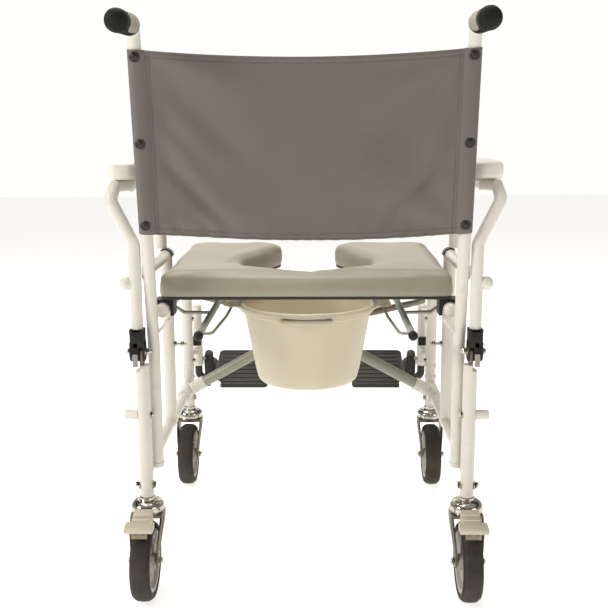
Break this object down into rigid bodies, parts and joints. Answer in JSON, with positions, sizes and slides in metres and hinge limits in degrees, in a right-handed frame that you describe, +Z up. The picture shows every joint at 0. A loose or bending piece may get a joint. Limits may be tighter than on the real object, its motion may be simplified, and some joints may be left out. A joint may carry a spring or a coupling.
{
  "type": "rolling commode chair",
  "caption": "Rolling commode chair with tube frame, sling back, open-front seat, sliding pan, flip-back arms, swing-away footrests and braked rear casters.",
  "frame": {"origin": "on the floor under the middle of the chair's bounding box", "axes": "+Z up; the sitter faces -Y; the sitter's left is +X"},
  "size_m": [0.613, 0.8768, 0.9045],
  "materials": {
    "white_powder_coat": "satin powder coat",
    "grey_paint": "silver-grey paint",
    "chrome": "polished plating",
    "zinc_steel": "zinc plated pressing",
    "black_plastic": "moulded, fine grain",
    "grey_plastic": "moulded",
    "hub_plastic": "moulded",
    "tyre_rubber": "soft grey tread",
    "grip_rubber": "ribbed rubber",
    "pedal_plastic": "moulded, stepped",
    "pad_foam": "skinned foam",
    "seat_vinyl": "smooth vinyl over foam",
    "sling_fabric": "coated nylon weave",
    "pan_plastic": "moulded, slightly translucent",
    "footplate_plastic": "moulded, ribbed"
  },
  "bodies": {
    "frame": {"left_side_frame": "white_powder_coat", "left_push_grip": "grip_rubber", "left_seat_rail": "white_powder_coat", "left_pan_rail": "grey_paint", "left_stay_link": "grey_paint", "left_arm_saddle": "black_plastic", "right_side_frame": "white_powder_coat", "right_push_grip": "grip_rubber", "right_seat_rail": "white_powder_coat", "right_pan_rail": "grey_paint", "right_stay_link": "grey_paint", "right_arm_saddle": "black_plastic", "back_sling": "sling_fabric", "brace_arm_front": "grey_paint", "brace_arm_rear": "grey_paint", "brace_bolt": "zinc_steel", "rear_left_caster_cup": "chrome", "rear_right_caster_cup": "chrome", "front_left_caster_cup": "chrome", "front_right_caster_cup": "chrome"},
    "seat": {"seat": "seat_vinyl", "seat_clip_rear_left": "black_plastic", "seat_clip_front_left": "black_plastic", "seat_clip_rear_right": "black_plastic", "seat_clip_front_right": "black_plastic"},
    "pan": {"pan": "pan_plastic"},
    "left_arm": {"left_arm_tube": "white_powder_coat", "left_arm_pad": "pad_foam", "left_arm_lock": "black_plastic"},
    "left_release": {"left_arm_release_tab": "grey_plastic"},
    "left_hanger": {"left_footrest_hanger": "white_powder_coat", "left_footrest_extension": "footplate_plastic"},
    "left_latch": {"left_hanger_latch": "black_plastic"},
    "left_foot": {"left_footplate": "footplate_plastic"},
    "right_arm": {"right_arm_tube": "white_powder_coat", "right_arm_pad": "pad_foam", "right_arm_lock": "black_plastic"},
    "right_release": {"right_arm_release_tab": "grey_plastic"},
    "right_hanger": {"right_footrest_hanger": "white_powder_coat", "right_footrest_extension": "footplate_plastic"},
    "right_latch": {"right_hanger_latch": "black_plastic"},
    "right_foot": {"right_footplate": "footplate_plastic"},
    "rear_left_swivel": {"rear_left_caster_fork": "zinc_steel", "rear_left_axle_bolt": "chrome"},
    "rear_left_wheel": {"rear_left_tyre": "tyre_rubber", "rear_left_hub": "hub_plastic"},
    "rear_right_swivel": {"rear_right_caster_fork": "zinc_steel", "rear_right_axle_bolt": "chrome"},
    "rear_right_wheel": {"rear_right_tyre": "tyre_rubber", "rear_right_hub": "hub_plastic"},
    "front_left_swivel": {"front_left_caster_fork": "zinc_steel", "front_left_axle_bolt": "chrome"},
    "front_left_wheel": {"front_left_tyre": "tyre_rubber", "front_left_hub": "hub_plastic"},
    "front_right_swivel": {"front_right_caster_fork": "zinc_steel", "front_right_axle_bolt": "chrome"},
    "front_right_wheel": {"front_right_tyre": "tyre_rubber", "front_right_hub": "hub_plastic"},
    "left_brake": {"left_brake_pedal": "pedal_plastic"},
    "right_brake": {"right_brake_pedal": "pedal_plastic"}
  },
  "joints": [
    {"name": "seat_lift", "type": "slide", "parent": "frame", "child": "seat", "axis": [0, 0, 1], "range_m": [0, 0.12]},
    {"name": "pan_slide", "type": "slide", "parent": "frame", "child": "pan", "axis": [0, 1, 0], "range_m": [0, 0.3]},
    {"name": "left_arm_flip", "type": "hinge", "parent": "frame", "child": "left_arm", "pos_m": [0.2648, 0.26644, 0.402], "axis": [-1, 0, 0], "range_deg": [0, 95]},
    {"name": "left_release_press", "type": "hinge", "parent": "left_arm", "child": "left_release", "pos_m": [0.2672, 0.27874, 0.4], "axis": [1, 0, 0], "range_deg": [0, 20], "stiffness_Nm_per_rad": 0.2},
    {"name": "left_hanger_swing", "type": "hinge", "parent": "frame", "child": "left_hanger", "pos_m": [0.259, -0.25006, 0.3], "axis": [0, 0, 1], "range_deg": [0, 90]},
    {"name": "left_latch_turn", "type": "hinge", "parent": "left_hanger", "child": "left_latch", "pos_m": [0.259, -0.25006, 0.297], "axis": [0, 0, 1], "range_deg": [0, 30], "stiffness_Nm_per_rad": 0.2},
    {"name": "left_footplate_flip", "type": "hinge", "parent": "left_hanger", "child": "left_foot", "pos_m": [0.226, -0.3143, 0.19361], "axis": [0, 0.9613, -0.2756], "range_deg": [0, 85]},
    {"name": "right_arm_flip", "type": "hinge", "parent": "frame", "child": "right_arm", "pos_m": [-0.2648, 0.26644, 0.402], "axis": [-1, 0, 0], "range_deg": [0, 95]},
    {"name": "right_release_press", "type": "hinge", "parent": "right_arm", "child": "right_release", "pos_m": [-0.2672, 0.27874, 0.4], "axis": [1, 0, 0], "range_deg": [0, 20], "stiffness_Nm_per_rad": 0.2},
    {"name": "right_hanger_swing", "type": "hinge", "parent": "frame", "child": "right_hanger", "pos_m": [-0.259, -0.25006, 0.3], "axis": [0, 0, -1], "range_deg": [0, 90]},
    {"name": "right_latch_turn", "type": "hinge", "parent": "right_hanger", "child": "right_latch", "pos_m": [-0.259, -0.25006, 0.297], "axis": [0, 0, -1], "range_deg": [0, 30], "stiffness_Nm_per_rad": 0.2},
    {"name": "right_footplate_flip", "type": "hinge", "parent": "right_hanger", "child": "right_foot", "pos_m": [-0.226, -0.3143, 0.19361], "axis": [0, -0.9613, 0.2756], "range_deg": [0, 85]},
    {"name": "rear_left_swivel_turn", "type": "hinge", "parent": "frame", "child": "rear_left_swivel", "pos_m": [0.259, 0.26644, 0.135], "axis": [0, 0, 1], "continuous": true},
    {"name": "rear_left_wheel_spin", "type": "hinge", "parent": "rear_left_swivel", "child": "rear_left_wheel", "pos_m": [0.259, 0.29944, 0.0635], "axis": [1, 0, 0], "continuous": true},
    {"name": "rear_right_swivel_turn", "type": "hinge", "parent": "frame", "child": "rear_right_swivel", "pos_m": [-0.259, 0.26644, 0.135], "axis": [0, 0, 1], "continuous": true},
    {"name": "rear_right_wheel_spin", "type": "hinge", "parent": "rear_right_swivel", "child": "rear_right_wheel", "pos_m": [-0.259, 0.29944, 0.0635], "axis": [1, 0, 0], "continuous": true},
    {"name": "front_left_swivel_turn", "type": "hinge", "parent": "frame", "child": "front_left_swivel", "pos_m": [0.259, -0.22406, 0.135], "axis": [0, 0, 1], "continuous": true},
    {"name": "front_left_wheel_spin", "type": "hinge", "parent": "front_left_swivel", "child": "front_left_wheel", "pos_m": [0.259, -0.19106, 0.0635], "axis": [1, 0, 0], "continuous": true},
    {"name": "front_right_swivel_turn", "type": "hinge", "parent": "frame", "child": "front_right_swivel", "pos_m": [-0.259, -0.22406, 0.135], "axis": [0, 0, 1], "continuous": true},
    {"name": "front_right_wheel_spin", "type": "hinge", "parent": "front_right_swivel", "child": "front_right_wheel", "pos_m": [-0.259, -0.19106, 0.0635], "axis": [1, 0, 0], "continuous": true},
    {"name": "left_brake_press", "type": "hinge", "parent": "rear_left_swivel", "child": "left_brake", "pos_m": [0.259, 0.29644, 0.141], "axis": [-1, 0, 0], "range_deg": [0, 8]},
    {"name": "right_brake_press", "type": "hinge", "parent": "rear_right_swivel", "child": "right_brake", "pos_m": [-0.259, 0.29644, 0.141], "axis": [-1, 0, 0], "range_deg": [0, 8]}
  ]
}
